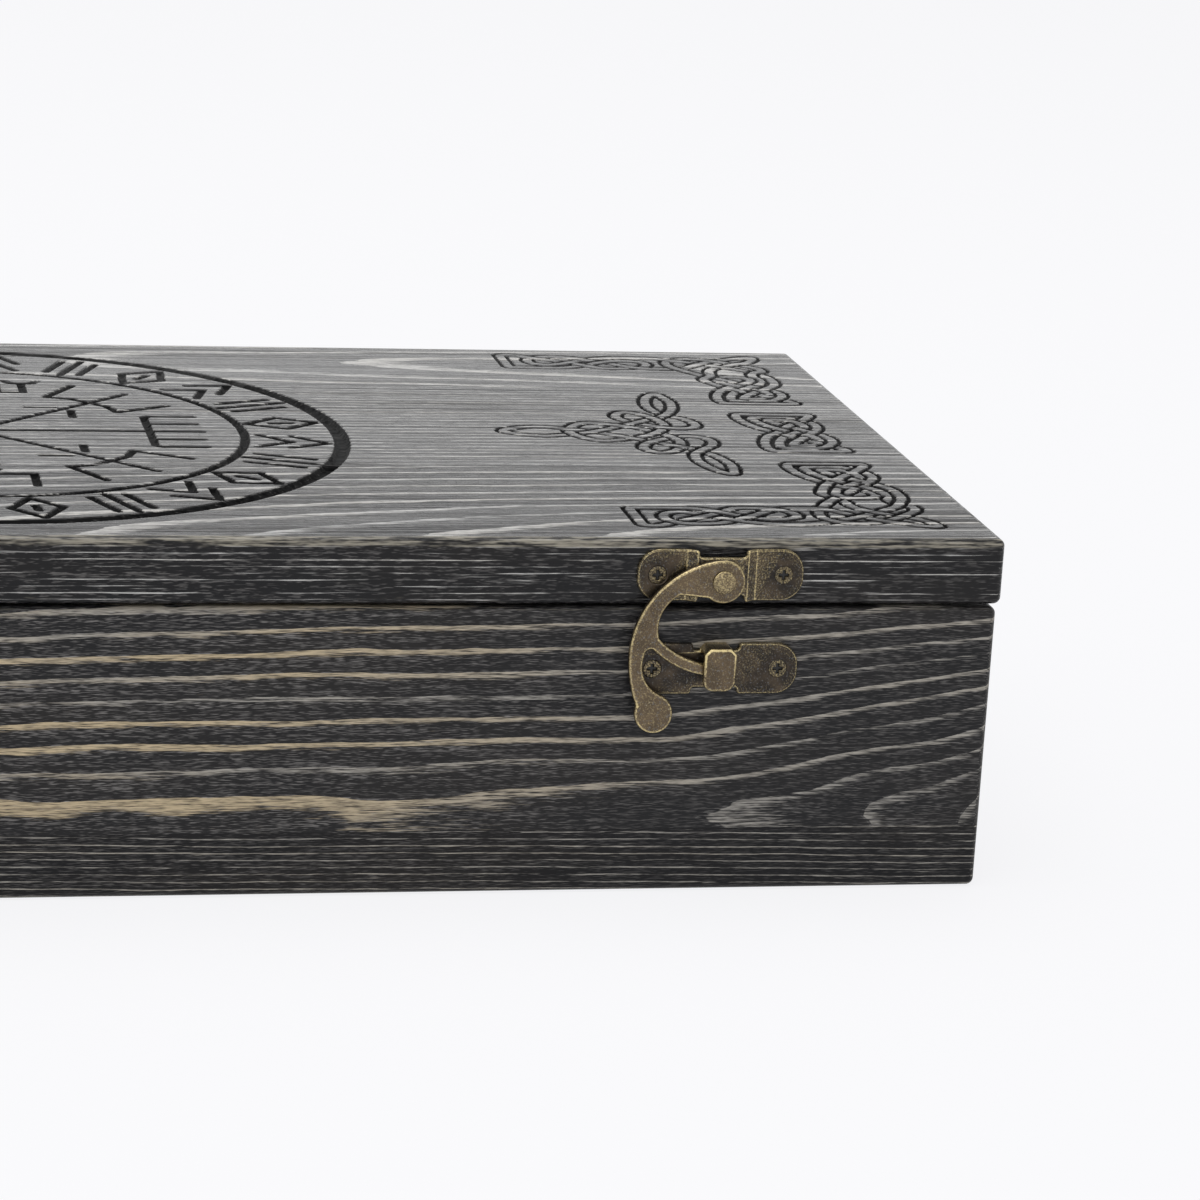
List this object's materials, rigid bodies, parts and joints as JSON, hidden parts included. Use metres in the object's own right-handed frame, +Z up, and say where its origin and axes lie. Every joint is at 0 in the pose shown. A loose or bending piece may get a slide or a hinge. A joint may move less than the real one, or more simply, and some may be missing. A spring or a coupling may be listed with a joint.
{
  "type": "wooden gift box",
  "caption": "Long flat wooden gift box of dark stained boards with a hinged, edge-glued carved lid and swing-hook latches on the front, made to hold a tool or other gift.",
  "frame": {"origin": "middle of the flat underside, on the ground plane", "axes": "+X along the front to the right, +Y from the latched front to the hinged back, +Z up"},
  "size_m": [0.474, 0.2232, 0.0866],
  "materials": {
    "stained_pine": "charcoal stain rubbed back so that the grain shows pale, satin wax",
    "bottom_plywood": "thin stained plywood",
    "beech_dowel": "plain turned dowel",
    "antique_brass": "antique brown patina, bright where worn on the edges",
    "worn_brass": "worn antique brass",
    "screw_brass": "antique plated, cross recess"
  },
  "bodies": {
    "case": {"front_upper_stave": "stained_pine", "front_lower_stave": "stained_pine", "back_board": "stained_pine", "left_side_board": "stained_pine", "right_side_board": "stained_pine", "bottom_panel": "bottom_plywood", "corner_dowels": "beech_dowel", "left_hinge_case_leaf": "antique_brass", "right_hinge_case_leaf": "antique_brass", "left_hinge_pin": "worn_brass", "right_hinge_pin": "worn_brass", "hinge_case_screws": "screw_brass", "left_catch_plate": "antique_brass", "right_catch_plate": "antique_brass", "latch_case_screws": "screw_brass"},
    "lid": {"lid_front_stave": "stained_pine", "lid_middle_stave": "stained_pine", "lid_rear_stave": "stained_pine", "left_hinge_lid_leaf": "antique_brass", "right_hinge_lid_leaf": "antique_brass", "hinge_lid_screws": "screw_brass", "left_pivot_plate": "antique_brass", "right_pivot_plate": "antique_brass", "left_rivet": "worn_brass", "right_rivet": "worn_brass", "latch_lid_screws": "screw_brass"},
    "left_swing_hook": {"left_hook": "antique_brass"},
    "right_swing_hook": {"right_hook": "antique_brass"}
  },
  "joints": [
    {"name": "lid_hinge", "type": "hinge", "parent": "case", "child": "lid", "pos_m": [0, 0.10835, 0.0703], "axis": [-1, 0, 0], "range_deg": [0, 170]},
    {"name": "left_hook_pivot", "type": "hinge", "parent": "lid", "child": "left_swing_hook", "pos_m": [-0.1675, -0.10975, 0.0774], "axis": [0, 1, 0], "range_deg": [0, 120]},
    {"name": "right_hook_pivot", "type": "hinge", "parent": "lid", "child": "right_swing_hook", "pos_m": [0.1675, -0.10975, 0.0774], "axis": [0, 1, 0], "range_deg": [0, 120]}
  ]
}
